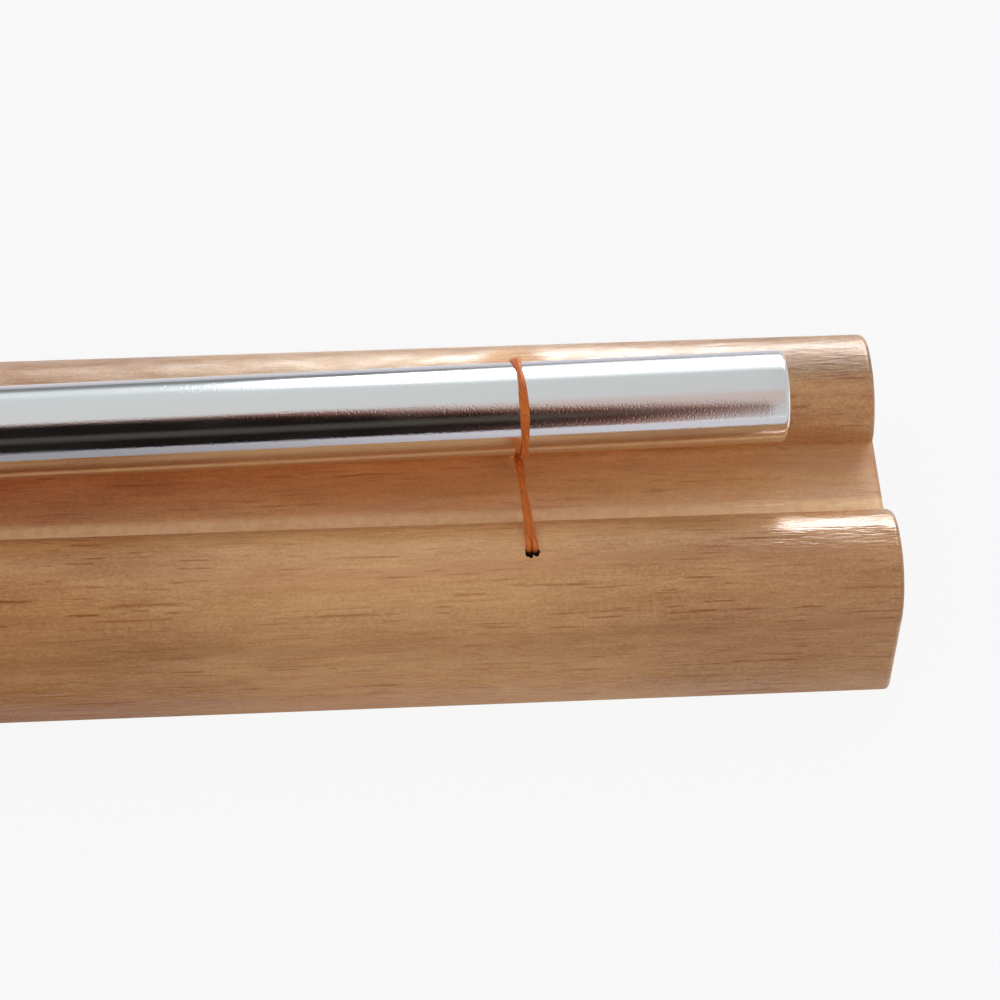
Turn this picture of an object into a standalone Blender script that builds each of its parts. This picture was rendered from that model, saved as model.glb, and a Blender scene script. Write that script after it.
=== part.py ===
"""Energy chime: a polished bar slung on two cords across the valley of a wooden base.

Metres, +Z up. X runs along the base and Y from front to back. The origin is on the
surface the base stands on, under the middle of the base.
"""
import math

import bmesh
import bpy
from mathutils import Matrix, Vector

# Rod
ROD_DIAMETER = 0.0130
ROD_LENGTH = 0.1660
ROD_EDGE_ROUND = 0.0008
ROD_SINK = 0.0010               # rod's underside below the rails' crests
ROD_OFFSET = 0.0037             # rod's middle behind the middle of the base
ROD_SKEW = math.radians(1.04)   # right end lies this much further back
NODE_RATIO = 0.2242             # a free bar's still point, from its end, over its length

# Wooden base
END_MARGIN = 0.0146             # base beyond each end of the rod
VALLEY_WIDTH = 0.0140
RAIL_WIDTH = 0.0180
RAIL_RISE = 0.0080              # rails above the valley floor
FLOOR_HEIGHT = 0.0165
RAIL_ROUND = 0.0085             # round-over along both edges of a rail
EDGE_ROUND = 0.0010             # eased edges of the ends and the underside

# Cords, their holes and the pockets that hide the knots
CORD_DIAMETER = 0.0012
TURN_GAP = 0.00046              # between neighbouring turns on the rod
HOLE_SETBACK = 0.0084           # hole's middle from the outer face of its rail
KNOT_DIAMETER = 0.0036
KNOT_HEIGHT = 0.0028
KNOT_TAIL = 0.0012
POCKET_DEPTH = 0.0055

# Clearances
TOUCH_GAP = 0.0003              # pieces that touch
HOLE_CLEARANCE = 0.0004         # round the cord in its hole
POCKET_CLEARANCE = 0.0012       # round the knot in its pocket

# Fineness of the curved surfaces
ROUND_STEPS = 20                # in a quarter round of the rails
EDGE_STEPS = 3
ROD_SIDES = 72
HOLE_SIDES = 24
KNOT_SIDES = 16
KNOT_RINGS = 8
LOOP_POINTS = 24
CORD_STEP = 0.0030

BASE_LENGTH = ROD_LENGTH + 2 * END_MARGIN
BASE_WIDTH = VALLEY_WIDTH + 2 * RAIL_WIDTH
BASE_HEIGHT = FLOOR_HEIGHT + RAIL_RISE
RAIL_CURVE = min(RAIL_ROUND, RAIL_WIDTH / 2 - EDGE_ROUND / 2)
RAIL_CURVE_Y = VALLEY_WIDTH / 2 + RAIL_CURVE      # centre of a rail's inner round
RAIL_CURVE_Z = BASE_HEIGHT - RAIL_CURVE

ROD_RADIUS = ROD_DIAMETER / 2
ROD_CENTRE = Vector((0, ROD_OFFSET, BASE_HEIGHT - ROD_SINK + ROD_RADIUS))
STATION = ROD_LENGTH * (0.5 - NODE_RATIO)         # cords from the middle, along the rod

CORD_RADIUS = CORD_DIAMETER / 2
WRAP_RADIUS = ROD_RADIUS + TOUCH_GAP + CORD_RADIUS
WRAP_PITCH = CORD_DIAMETER + TURN_GAP
REST_RADIUS = CORD_RADIUS + TOUCH_GAP             # cord's middle from a surface it lies on
HOLE_RADIUS = CORD_RADIUS + HOLE_CLEARANCE
HOLE_Y = BASE_WIDTH / 2 - HOLE_SETBACK
POCKET_RADIUS = KNOT_DIAMETER / 2 + POCKET_CLEARANCE

FULL_TURN = 2 * math.pi
QUARTER = math.pi / 2
SIDES = {"front": -1, "back": 1}
STATIONS = {"left": -1, "right": 1}


def clear_scene():
    for obj in list(bpy.data.objects):
        bpy.data.objects.remove(obj, do_unlink=True)


def finish(name, colour, roughness, metallic=0.0):
    material = bpy.data.materials.new(name)
    material.use_nodes = True
    shader = material.node_tree.nodes["Principled BSDF"]
    shader.inputs["Base Color"].default_value = (*colour, 1)
    shader.inputs["Roughness"].default_value = roughness
    shader.inputs["Metallic"].default_value = metallic
    return material


def place(name, data, material, location=(0, 0, 0), parent=None):
    obj = bpy.data.objects.new(name, data)
    bpy.context.scene.collection.objects.link(obj)
    obj.location = location
    obj.parent = parent
    if material:
        data.materials.append(material)
    return obj


def to_mesh(name, shape):
    bmesh.ops.recalc_face_normals(shape, faces=shape.faces)
    mesh = bpy.data.meshes.new(name)
    shape.to_mesh(mesh)
    shape.free()
    mesh.shade_smooth()
    mesh.set_sharp_from_angle(angle=math.radians(35))
    return mesh


def turned(shape, profile, sides, x=0, y=0):
    """Adds a closed turned body about an upright axis, from (radius, height) points that start and end on it."""
    verts = [shape.verts.new((x + radius, y, height)) for radius, height in profile]
    edges = [shape.edges.new(pair) for pair in zip(verts, verts[1:])]
    bmesh.ops.spin(shape, geom=verts + edges, cent=(x, y, 0), axis=(0, 0, 1), angle=FULL_TURN, steps=sides)
    bmesh.ops.remove_doubles(shape, verts=shape.verts, dist=1e-7)


def arc(centre, radius, start, end, steps):
    return [
        (centre[0] + radius * math.cos(a), centre[1] + radius * math.sin(a))
        for a in (start + (end - start) * i / steps for i in range(steps + 1))
    ]


def back_half_section():
    """Outline of the back half of the base in (y, z), from the valley floor's middle to the underside's."""
    outer = BASE_WIDTH / 2
    foot = math.asin(max(0, min(1, (FLOOR_HEIGHT - RAIL_CURVE_Z) / RAIL_CURVE)))
    outline = []
    if RAIL_CURVE_Z > FLOOR_HEIGHT:
        outline.append((VALLEY_WIDTH / 2, FLOOR_HEIGHT))
    outline += arc((RAIL_CURVE_Y, RAIL_CURVE_Z), RAIL_CURVE, math.pi - foot, QUARTER, ROUND_STEPS)
    outline += arc((outer - RAIL_CURVE, RAIL_CURVE_Z), RAIL_CURVE, QUARTER, 0, ROUND_STEPS)
    outline += arc((outer - EDGE_ROUND, EDGE_ROUND), EDGE_ROUND, 0, -QUARTER, EDGE_STEPS)
    return outline


def make_wood_base(material):
    """One block with two rounded rails, a flat valley between them, eased ends and four drilled holes."""
    half = back_half_section()
    section = half + [(-y, z) for y, z in reversed(half)]
    shape = bmesh.new()
    end = shape.faces.new([shape.verts.new((-BASE_LENGTH / 2, y, z)) for y, z in section])
    pulled = bmesh.ops.extrude_face_region(shape, geom=[end])
    far = [v for v in pulled["geom"] if isinstance(v, bmesh.types.BMVert)]
    bmesh.ops.translate(shape, verts=far, vec=(BASE_LENGTH, 0, 0))
    end_edges = [e for e in shape.edges if abs(e.verts[0].co.x - e.verts[1].co.x) < EDGE_ROUND]
    bmesh.ops.bevel(shape, geom=end_edges, offset=EDGE_ROUND, segments=EDGE_STEPS, profile=0.5, affect="EDGES")
    base = place("wood_base", to_mesh("wood_base", shape), material)

    drills = bmesh.new()
    overrun = BASE_HEIGHT / 10
    drill = [
        (0, -overrun),
        (POCKET_RADIUS, -overrun),
        (POCKET_RADIUS, POCKET_DEPTH),
        (HOLE_RADIUS, POCKET_DEPTH),
        (HOLE_RADIUS, BASE_HEIGHT + overrun),
        (0, BASE_HEIGHT + overrun),
    ]
    for station in STATIONS.values():
        for side in SIDES.values():
            turned(drills, drill, HOLE_SIDES, station * STATION, side * HOLE_Y)
    cutter = place("cord_hole_drills", to_mesh("cord_hole_drills", drills), None)
    cutter.hide_render = True
    cutter.display_type = "WIRE"
    cut = base.modifiers.new("cord holes", "BOOLEAN")
    cut.operation = "DIFFERENCE"
    cut.object = cutter
    return base


def make_chime_rod(material, axis):
    """Solid bar with eased ends, its origin on its own axis."""
    half = ROD_LENGTH / 2
    inner = ROD_RADIUS - ROD_EDGE_ROUND
    near = arc((inner, -half + ROD_EDGE_ROUND), ROD_EDGE_ROUND, -QUARTER, 0, EDGE_STEPS)
    far = arc((inner, half - ROD_EDGE_ROUND), ROD_EDGE_ROUND, 0, QUARTER, EDGE_STEPS)
    shape = bmesh.new()
    turned(shape, [(0, -half)] + near + far + [(0, half)], ROD_SIDES)
    bmesh.ops.rotate(shape, verts=shape.verts, matrix=Matrix.Rotation(QUARTER, 3, "Y"))
    return place("chime_rod", to_mesh("chime_rod", shape), material, parent=axis)


def slope(side, rod_y):
    """How steeply a taut cord falls from the crest of a rail to the underside of the rod."""
    across = abs(side * RAIL_CURVE_Y - rod_y)
    up = ROD_CENTRE.z - RAIL_CURVE_Z
    reach = RAIL_CURVE + REST_RADIUS + WRAP_RADIUS
    return math.asin(min(1, reach / math.hypot(across, up))) - math.atan2(up, across)


def wrap_points(station, front_fall, back_fall, steps_a_turn):
    """One turn round the rod in the rod's frame, from the front strand to the back strand."""
    sweep = front_fall + FULL_TURN + back_fall
    spread = WRAP_PITCH * sweep / FULL_TURN
    steps = math.ceil(steps_a_turn * sweep / FULL_TURN)
    turn = []
    for i in range(steps + 1):
        angle = sweep * i / steps - front_fall
        x = station * STATION + spread * (i / steps - 0.5)
        turn.append(Vector((x, WRAP_RADIUS * math.sin(angle), -WRAP_RADIUS * math.cos(angle))))
    lead_in = Vector((0, -math.cos(front_fall), math.sin(front_fall))) * CORD_DIAMETER
    lead_out = Vector((0, math.cos(back_fall), math.sin(back_fall))) * CORD_DIAMETER
    return [turn[0] + lead_in] + turn + [turn[-1] + lead_out]


def least_gap(points):
    """Least distance between the surfaces of stretches of a cord over half a turn apart."""
    far_on = LOOP_POINTS * 2
    return min(
        (points[i] - points[j]).length - CORD_DIAMETER
        for i in range(len(points))
        for j in range(i + far_on, len(points))
    )


def smooth(route):
    """Points along a smooth curve through the route's own points."""
    ends = [2 * route[0] - route[1]] + route + [2 * route[-1] - route[-2]]
    points = []
    for a, b, c, d in zip(ends, ends[1:], ends[2:], ends[3:]):
        length = (c - b).length
        into = (c - a) * (length / ((b - a).length + length))
        out = (d - b) * (length / ((d - c).length + length))
        steps = max(2, math.ceil(length / CORD_STEP))
        for i in range(steps):
            t = i / steps
            points.append(
                b * (2 * t**3 - 3 * t**2 + 1)
                + into * (t**3 - 2 * t**2 + t)
                + c * (3 * t**2 - 2 * t**3)
                + out * (t**3 - t**2)
            )
    return points + [route[-1]]


def strand_route(side, station, wrap_end, fall):
    """From the knot up the hole, over its rim and the crest of the rail, and down to the rod's underside."""
    x = station * STATION
    inwards = -side
    rim_y = side * HOLE_Y + inwards * HOLE_RADIUS
    up_hole = [
        Vector((x, rim_y - inwards * REST_RADIUS, z))
        for z in (POCKET_DEPTH, (POCKET_DEPTH + BASE_HEIGHT) / 2, BASE_HEIGHT - CORD_DIAMETER)
    ]
    over_rim = [
        Vector((x, rim_y - inwards * y, BASE_HEIGHT + z))
        for y, z in arc((0, 0), REST_RADIUS, 0, QUARTER, 2)
    ]
    lift = RAIL_CURVE + REST_RADIUS
    crest_y = side * RAIL_CURVE_Y + inwards * lift * math.sin(fall)
    off_rail = Vector((x, crest_y, RAIL_CURVE_Z + lift * math.cos(fall)))
    away = Vector((0, side * math.cos(fall), math.sin(fall)))
    end = wrap_end + away * TOUCH_GAP
    straight = end + away * (2 * CORD_DIAMETER)
    return up_hole + over_rim + [off_rail, straight, end]


def cord_tube(name, points, resolution, material, parent=None):
    curve = bpy.data.curves.new(name, "CURVE")
    curve.dimensions = "3D"
    curve.bevel_depth = CORD_RADIUS
    curve.bevel_resolution = resolution
    curve.use_fill_caps = True
    spline = curve.splines.new("POLY")
    spline.points.add(len(points) - 1)
    for target, point in zip(spline.points, points):
        target.co = (*point, 1)
    return place(name, curve, material, parent=parent)


def make_knot(name, side, station, material):
    """Stopper knot against the roof of its pocket, with the cut tail of the cord below it."""
    lobe = KNOT_DIAMETER / 2
    top = POCKET_DEPTH - TOUCH_GAP
    middle = top - KNOT_HEIGHT / 2
    neck = math.asin(CORD_RADIUS / lobe)
    profile = [(0, middle - KNOT_HEIGHT / 2 - KNOT_TAIL), (CORD_RADIUS, middle - KNOT_HEIGHT / 2 - KNOT_TAIL)]
    for i in range(KNOT_RINGS + 1):
        angle = neck + (math.pi - 2 * neck) * i / KNOT_RINGS
        height = -math.cos(angle) / math.cos(neck) * KNOT_HEIGHT / 2
        profile.append((lobe * math.sin(angle), middle + height))
    profile.append((0, top))
    shape = bmesh.new()
    turned(shape, profile, KNOT_SIDES)
    return place(name, to_mesh(name, shape), material, location=(station * STATION, side * HOLE_Y, 0))


def make_cord(label, station, material, axis):
    """One cord: knotted under the front rail, once round the rod, and knotted under the back rail."""
    frame = Matrix.Translation(ROD_CENTRE) @ Matrix.Rotation(ROD_SKEW, 4, "Z")
    rod_y = (frame @ Vector((station * STATION, 0, 0))).y
    falls = {name: slope(side, rod_y) for name, side in SIDES.items()}
    turn = wrap_points(station, falls["front"], falls["back"], LOOP_POINTS)
    cord_tube(f"rod_wrap_{label}", turn, 1, material, axis)
    gap = least_gap(wrap_points(station, falls["front"], falls["back"], LOOP_POINTS * 4))
    print(f"rod_wrap_{label}: least gap to itself {gap * 1000:.2f} mm")
    ends = {"front": frame @ turn[0], "back": frame @ turn[-1]}
    for name, side in SIDES.items():
        route = strand_route(side, station, ends[name], falls[name])
        cord_tube(f"{name}_cord_{label}", smooth(route), 2, material)
        make_knot(f"{name}_knot_{label}", side, station, material)


clear_scene()
rod_axis = place("rod_axis", None, None, location=ROD_CENTRE)
rod_axis.rotation_euler.z = ROD_SKEW
make_wood_base(finish("varnished_wood", (0.42, 0.24, 0.11), 0.35))
make_chime_rod(finish("polished_aluminium", (0.87, 0.88, 0.89), 0.12, 1.0), rod_axis)
cord_finish = finish("orange_cord", (0.45, 0.09, 0.015), 0.8)
for station_name, station_side in STATIONS.items():
    make_cord(station_name, station_side, cord_finish, rod_axis)
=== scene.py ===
import math

import bmesh
import bpy
from mathutils import Matrix, Vector


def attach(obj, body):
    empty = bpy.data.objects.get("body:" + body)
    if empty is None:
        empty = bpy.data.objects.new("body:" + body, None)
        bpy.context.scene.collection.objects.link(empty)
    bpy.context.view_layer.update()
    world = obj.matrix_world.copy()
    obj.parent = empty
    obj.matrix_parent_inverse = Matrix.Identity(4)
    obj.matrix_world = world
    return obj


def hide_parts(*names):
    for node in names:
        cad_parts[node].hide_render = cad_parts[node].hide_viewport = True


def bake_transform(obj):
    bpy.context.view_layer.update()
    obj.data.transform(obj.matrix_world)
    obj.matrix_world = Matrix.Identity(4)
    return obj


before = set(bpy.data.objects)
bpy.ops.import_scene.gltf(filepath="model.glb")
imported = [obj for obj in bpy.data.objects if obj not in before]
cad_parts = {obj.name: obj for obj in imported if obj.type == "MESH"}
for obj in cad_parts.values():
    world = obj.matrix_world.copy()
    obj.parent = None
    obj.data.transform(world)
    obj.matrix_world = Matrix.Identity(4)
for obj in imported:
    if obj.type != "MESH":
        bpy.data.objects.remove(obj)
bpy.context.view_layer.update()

# Wooden base
# One block of pale, straight-grained hardwood with two round rails moulded along it and a flat valley
# between them. Its ends are sanded round, its lower edges just eased, and it is varnished all over. A hole
# drilled through each rail takes each cord, with a wider pocket below for the knot.
BASE_LENGTH = 0.1952
BASE_WIDTH = 0.0500
BASE_HEIGHT = 0.0245
VALLEY_WIDTH = 0.0140
VALLEY_FLOOR = 0.0165
RAIL_ROUND = 0.0085
RAIL_CENTRE_Z = BASE_HEIGHT - RAIL_ROUND
INNER_ROUND_Y = VALLEY_WIDTH / 2 + RAIL_ROUND
OUTER_ROUND_Y = BASE_WIDTH / 2 - RAIL_ROUND
RAIL_STEPS = 30
END_ROUND = 0.0010
END_INSET = END_ROUND * 0.98
LOWER_EDGE = 0.0002
CORD_STATION = 0.04578
HOLE_Y = 0.0166
HOLE_RADIUS = 0.0010
MOUTH_DEPTH = 0.0009
POCKET_RADIUS = 0.0030
POCKET_DEPTH = 0.0055
PALEST_X = 0.030
WOOD_PALE = (0.810, 0.450, 0.205, 1)
WOOD_WARM = (0.470, 0.198, 0.068, 1)
WOOD_ROSE = (0.600, 0.265, 0.122, 1)
WOOD_PORE = (0.330, 0.080, 0.006, 1)
WOOD_EVEN = (0.620, 0.308, 0.128, 1)
# The valley's lit band and bounce tints, and the shade along the foot, under the rod and under the thick
# film, are painted light and shade.
VALLEY_LIT_BAND = (1.000, 0.630, 0.300, 1)
PALE_STRETCH = (1.180, 1.200, 1.180, 1)
LEFT_END_TINT = (0.970, 0.890, 0.770, 1)
FOOT_SHADE = (0.850, 0.770, 0.670, 1)
VALLEY_WARM_BOUNCE = (1.180, 1.080, 0.860, 1)
VALLEY_LIT_TINT = (1.320, 1.340, 1.200, 1)
UNDER_ROD_SHADE = (0.870, 0.640, 0.400, 1)
FILM_SHADE = (0.720, 0.760, 0.800, 1)
BARE_WOOD = (0.300, 0.140, 0.060, 1)
BARE_SHADE = (0.200, 0.090, 0.036, 1)


def add(tree, kind, inputs=None, **settings):
    """A node with its settings, and its inputs set to values or linked to other nodes' outputs."""
    made = tree.nodes.new(kind)
    for name, value in settings.items():
        setattr(made, name, value)
    for name, value in (inputs or {}).items():
        if isinstance(value, bpy.types.NodeSocket):
            tree.links.new(value, made.inputs[name])
        else:
            made.inputs[name].default_value = value
    return made


def scaled(tree, place, x, y, z):
    return add(tree, "ShaderNodeVectorMath", {0: place, 1: (x, y, z)}, operation="MULTIPLY").outputs[0]


def ramped(tree, value, low, high, start=0.0, end=1.0):
    """A smooth change from start to end while the value goes from low to high."""
    inputs = {"Value": value, "From Min": low, "From Max": high, "To Min": start, "To Max": end}
    return add(tree, "ShaderNodeMapRange", inputs, interpolation_type="SMOOTHSTEP").outputs["Result"]


def combined(tree, operation, a, b=0.0):
    return add(tree, "ShaderNodeMath", {0: a, 1: b}, operation=operation).outputs[0]


def product(tree, *masks):
    """How far all the masks hold together."""
    shared = masks[0]
    for mask in masks[1:]:
        shared = combined(tree, "MULTIPLY", shared, mask)
    return shared


def mixed(tree, share, a, b, blend="MIX"):
    """Colour a, changed by a share towards colour b, or towards a multiplied by b."""
    inputs = {0: share, 6: a, 7: b}
    return add(tree, "ShaderNodeMix", inputs, data_type="RGBA", blend_type=blend).outputs[2]


def streaks(tree, place, along, across, detail=2.0):
    """Noise drawn out along X, given by its patches per metre along X and across it."""
    stretched = scaled(tree, place, along, across, across)
    return add(tree, "ShaderNodeTexNoise", {"Vector": stretched, "Scale": 1.0, "Detail": detail}).outputs


def bumped(tree, height, strength, distance, under=None):
    """Fine relief as a normal, on top of the normal of a relief under it, if there is one."""
    inputs = {"Height": height, "Strength": strength, "Distance": distance}
    if under is not None:
        inputs["Normal"] = under
    return add(tree, "ShaderNodeBump", inputs).outputs["Normal"]


def wood_grain_group():
    """Hardwood cut along the grain: soft bands, fine fibre streaks and short dark vessel lines along X."""
    tree = bpy.data.node_groups.new("wood_grain", "ShaderNodeTree")
    tree.interface.new_socket("Place", in_out="INPUT", socket_type="NodeSocketVector")
    for name in ("Pale", "Warm", "Rose", "Pore"):
        tree.interface.new_socket(name, in_out="INPUT", socket_type="NodeSocketColor")
    tree.interface.new_socket("Colour", in_out="OUTPUT", socket_type="NodeSocketColor")
    tree.interface.new_socket("Height", in_out="OUTPUT", socket_type="NodeSocketFloat")
    inside = tree.nodes.new("NodeGroupInput").outputs
    outside = tree.nodes.new("NodeGroupOutput").inputs

    grain = inside["Place"]
    for along, across, reach in ((14, 45, 0.0032), (260, 700, 0.00022)):
        drift = streaks(tree, inside["Place"], along, across)["Color"]
        lean = add(tree, "ShaderNodeVectorMath", {0: drift, 1: (0.5, 0.5, 0.5)}, operation="SUBTRACT")
        wander = scaled(tree, lean.outputs[0], 0, reach, reach)
        grain = add(tree, "ShaderNodeVectorMath", {0: grain, 1: wander}, operation="ADD").outputs[0]

    # The last and finest fibres colour the wood but are not felt under the varnish.
    tint = None
    for along, across, detail, low, high, share in (
        (7, 210, 2.0, 0.34, 0.68, 0.24),
        (75, 260, 4.0, 0.32, 0.70, 0.28),
        (60, 1700, 3.0, 0.30, 0.72, 0.14),
        (330, 3000, 2.0, 0.36, 0.64, 0.19),
        (1900, 3800, 1.0, 0.34, 0.66, 0.30),
    ):
        fibres = streaks(tree, grain, along, across, detail)["Fac"]
        layer = ramped(tree, fibres, low, high, 0.0, share)
        felt = tint
        tint = layer if tint is None else combined(tree, "ADD", tint, layer)
    wood = mixed(tree, tint, inside["Pale"], inside["Warm"])
    blush = ramped(tree, streaks(tree, grain, 16, 420, 3.0)["Fac"], 0.46, 0.72, 0.0, 0.5)
    wood = mixed(tree, blush, wood, inside["Rose"])

    height = add(tree, "ShaderNodeSeparateXYZ", {0: inside["Place"]}).outputs["Z"]
    rays = ramped(tree, streaks(tree, grain, 1700, 620)["Fac"], 0.48, 0.66, 0.0, 0.24)
    quarter_cut = product(
        tree, ramped(tree, height, 0.0178, 0.0200), ramped(tree, height, 0.0205, 0.0225, 1.0, 0.0)
    )
    wood = mixed(tree, product(tree, rays, quarter_cut), wood, inside["Pale"])

    crowded = ramped(tree, streaks(tree, grain, 22, 190)["Fac"], 0.34, 0.58, 0.42, 1.0)
    broken = ramped(tree, streaks(tree, grain, 480, 1300)["Fac"], 0.32, 0.52, 0.50, 1.0)
    vessel = None
    for along, across, width, least, depth in (
        (36, 980, 0.24, 0.00, 0.80),
        (70, 1250, 0.21, 0.10, 0.78),
        (150, 1700, 0.24, 0.16, 0.66),
    ):
        stretched = {"Vector": scaled(tree, grain, along, across, across), "Scale": 1.0}
        cells = add(tree, "ShaderNodeTexVoronoi", stretched, distance="CHEBYCHEV").outputs
        near = ramped(tree, cells["Distance"], width * 0.45, width, depth, 0.0)
        chance = add(tree, "ShaderNodeSeparateColor", {"Color": cells["Color"]}).outputs["Red"]
        line = product(tree, near, ramped(tree, chance, least, 0.80))
        vessel = line if vessel is None else combined(tree, "MAXIMUM", vessel, line)
    vessel = product(tree, vessel, crowded, broken)
    tree.links.new(mixed(tree, vessel, wood, inside["Pore"]), outside["Colour"])
    sunk = combined(tree, "MULTIPLY", vessel, 0.15)
    tree.links.new(combined(tree, "SUBTRACT", felt, sunk), outside["Height"])
    return tree


def ripple_group():
    """Faint unevenness of a rubbed or polished surface: fine grains over slow waves."""
    tree = bpy.data.node_groups.new("surface_ripple", "ShaderNodeTree")
    tree.interface.new_socket("Place", in_out="INPUT", socket_type="NodeSocketVector")
    tree.interface.new_socket("Grains", in_out="INPUT", socket_type="NodeSocketFloat")
    tree.interface.new_socket("Waves", in_out="INPUT", socket_type="NodeSocketFloat")
    tree.interface.new_socket("Height", in_out="OUTPUT", socket_type="NodeSocketFloat")
    inside = tree.nodes.new("NodeGroupInput").outputs
    outside = tree.nodes.new("NodeGroupOutput").inputs
    heights = []
    for name in ("Grains", "Waves"):
        inputs = {"Vector": inside["Place"], "Scale": inside[name], "Detail": 1.0}
        heights.append(add(tree, "ShaderNodeTexNoise", inputs).outputs["Fac"])
    grains, waves = heights
    waves = combined(tree, "MULTIPLY", waves, 3.0)
    tree.links.new(combined(tree, "ADD", grains, waves), outside["Height"])
    return tree


def new_material(name, **values):
    """A material with a Principled shader, its even values set on the shader's own sockets."""
    material = bpy.data.materials.new(name)
    material.use_nodes = True
    shader = material.node_tree.nodes["Principled BSDF"]
    for socket, value in values.items():
        shader.inputs[socket.replace("_", " ")].default_value = value
    return material, material.node_tree, shader


WOOD_GRAIN = wood_grain_group()
SURFACE_RIPPLE = ripple_group()


def varnished_wood():
    """Grained wood, palest right of the middle, darker and warmer towards its left end, with painted shade
    along its foot, under brushed varnish that is worn dull round the cords' holes, thick on the back rail
    and thin in the valley; painted shade darkens the colour under the thick film. The valley's floor is
    planed more even and tinted with painted warm bounce light, with painted shade under the rod and a
    painted band of light at its front."""
    material, tree, shader = new_material(
        "varnished_wood", Specular_IOR_Level=0.5, IOR=1.5, Coat_Roughness=0.40, Coat_IOR=1.70
    )
    place = add(tree, "ShaderNodeTexCoord").outputs["Object"]
    colours = {"Pale": WOOD_PALE, "Warm": WOOD_WARM, "Rose": WOOD_ROSE, "Pore": WOOD_PORE}
    grain = add(tree, "ShaderNodeGroup", {"Place": place, **colours}, node_tree=WOOD_GRAIN).outputs
    at = add(tree, "ShaderNodeSeparateXYZ", {0: place}).outputs
    sideways = combined(tree, "ABSOLUTE", at["Y"])
    in_valley = product(
        tree,
        ramped(tree, at["Z"], VALLEY_FLOOR + 0.001, VALLEY_FLOOR + 0.003, 1.0, 0.0),
        ramped(tree, at["Z"], VALLEY_FLOOR - 0.0015, VALLEY_FLOOR - 0.0003),
        ramped(tree, sideways, 0.009, 0.011, 1.0, 0.0),
    )
    # Painted shade: the valley's floor is darkened under the rod, fading out past the rod's right end, and in
    # the crease at the front rail's foot.
    shade_reach = product(
        tree, ramped(tree, at["Y"], -0.0040, 0.0050), ramped(tree, at["X"], 0.000, 0.085, 1.0, 0.15)
    )
    shade_reach = combined(tree, "MAXIMUM", shade_reach, ramped(tree, at["Y"], -0.0085, -0.0072, 0.9, 0.0))
    under_rod_shade = product(tree, in_valley, shade_reach)
    # Painted light: a pale band along the front of the valley's floor, where light falls past the rod.
    lit_band = product(
        tree,
        ramped(tree, at["Z"], VALLEY_FLOOR + 0.0003, VALLEY_FLOOR + 0.0012, 0.95, 0.0),
        ramped(tree, at["Y"], -0.0040, -0.0022, 1.0, 0.0),
        ramped(tree, streaks(tree, place, 900, 700)["Fac"], 0.38, 0.60, 0.70, 1.0),
        in_valley,
    )
    planed = product(tree, in_valley, ramped(tree, at["X"], -0.010, 0.055, 0.0, 0.30))
    colour = mixed(tree, planed, grain["Colour"], WOOD_EVEN)
    from_palest = combined(tree, "ABSOLUTE", combined(tree, "SUBTRACT", at["X"], PALEST_X))
    on_rails = combined(tree, "SUBTRACT", 1.0, combined(tree, "MULTIPLY", in_valley, 0.6))
    stretch = product(tree, on_rails, ramped(tree, from_palest, 0.012, 0.044, 1.0, 0.0))
    colour = mixed(tree, combined(tree, "MULTIPLY", stretch, 0.20), colour, WOOD_PALE)
    colour = mixed(tree, stretch, colour, PALE_STRETCH, "MULTIPLY")
    # Darker and warmer towards the left end.
    to_left = ramped(tree, at["X"], -0.025, 0.005, 1.0, 0.0)
    colour = mixed(tree, to_left, colour, LEFT_END_TINT, "MULTIPLY")
    # Painted shade low down on the base, near the table, fading out towards the right.
    foot = product(
        tree, ramped(tree, at["Z"], 0.003, 0.011, 1.0, 0.0), ramped(tree, at["X"], 0.020, 0.070, 1.0, 0.0)
    )
    colour = mixed(tree, foot, colour, FOOT_SHADE, "MULTIPLY")
    # Painted bounce light: the valley's floor is tinted warmer, and lighter towards the rod's right end,
    # mostly fading out past it.
    valley_bounce = product(tree, in_valley, ramped(tree, at["X"], 0.076, 0.090, 1.0, 0.1))
    bounce_tint = mixed(tree, ramped(tree, at["X"], 0.030, 0.066), VALLEY_WARM_BOUNCE, VALLEY_LIT_TINT)
    colour = mixed(tree, valley_bounce, colour, bounce_tint, "MULTIPLY")
    # Painted shade under the rod.
    colour = mixed(tree, under_rod_shade, colour, UNDER_ROD_SHADE, "MULTIPLY")
    # Painted light on the valley's front band.
    colour = mixed(tree, lit_band, colour, VALLEY_LIT_BAND)

    brushed = ramped(tree, streaks(tree, place, 90, 320, 3.0)["Fac"], 0.35, 0.68, 0.20, 0.34)
    along = combined(tree, "SUBTRACT", combined(tree, "ABSOLUTE", at["X"]), CORD_STATION)
    across = combined(tree, "SUBTRACT", sideways, HOLE_Y)
    from_hole = add(tree, "ShaderNodeCombineXYZ", {"X": along, "Y": across}).outputs[0]
    distance = add(tree, "ShaderNodeVectorMath", {0: from_hole}, operation="LENGTH").outputs["Value"]
    worn = combined(tree, "ADD", brushed, ramped(tree, distance, 0.0030, 0.0065, 0.30, 0.0))
    behind = combined(tree, "ADD", worn, ramped(tree, at["Y"], 0.008, 0.011, 0.0, 0.12))
    thin_film = combined(tree, "MULTIPLY", in_valley, 0.35)
    tree.links.new(combined(tree, "ADD", behind, thin_film), shader.inputs["Roughness"])
    # The thick film's share on the back rail's crest: it gives the coat, and painted shade that darkens and
    # cools the colour there.
    film_and_shade = product(
        tree,
        ramped(tree, at["Y"], 0.0115, 0.0145),
        ramped(tree, at["Z"], 0.018, 0.0242),
        ramped(tree, distance, 0.002, 0.006),
    )
    thick = product(
        tree,
        film_and_shade,
        ramped(tree, at["X"], 0.055, 0.090, 1.0, 0.15),
        ramped(tree, streaks(tree, place, 260, 620)["Fac"], 0.38, 0.64, 0.45, 1.0),
    )
    tree.links.new(thick, shader.inputs["Coat Weight"])
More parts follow.
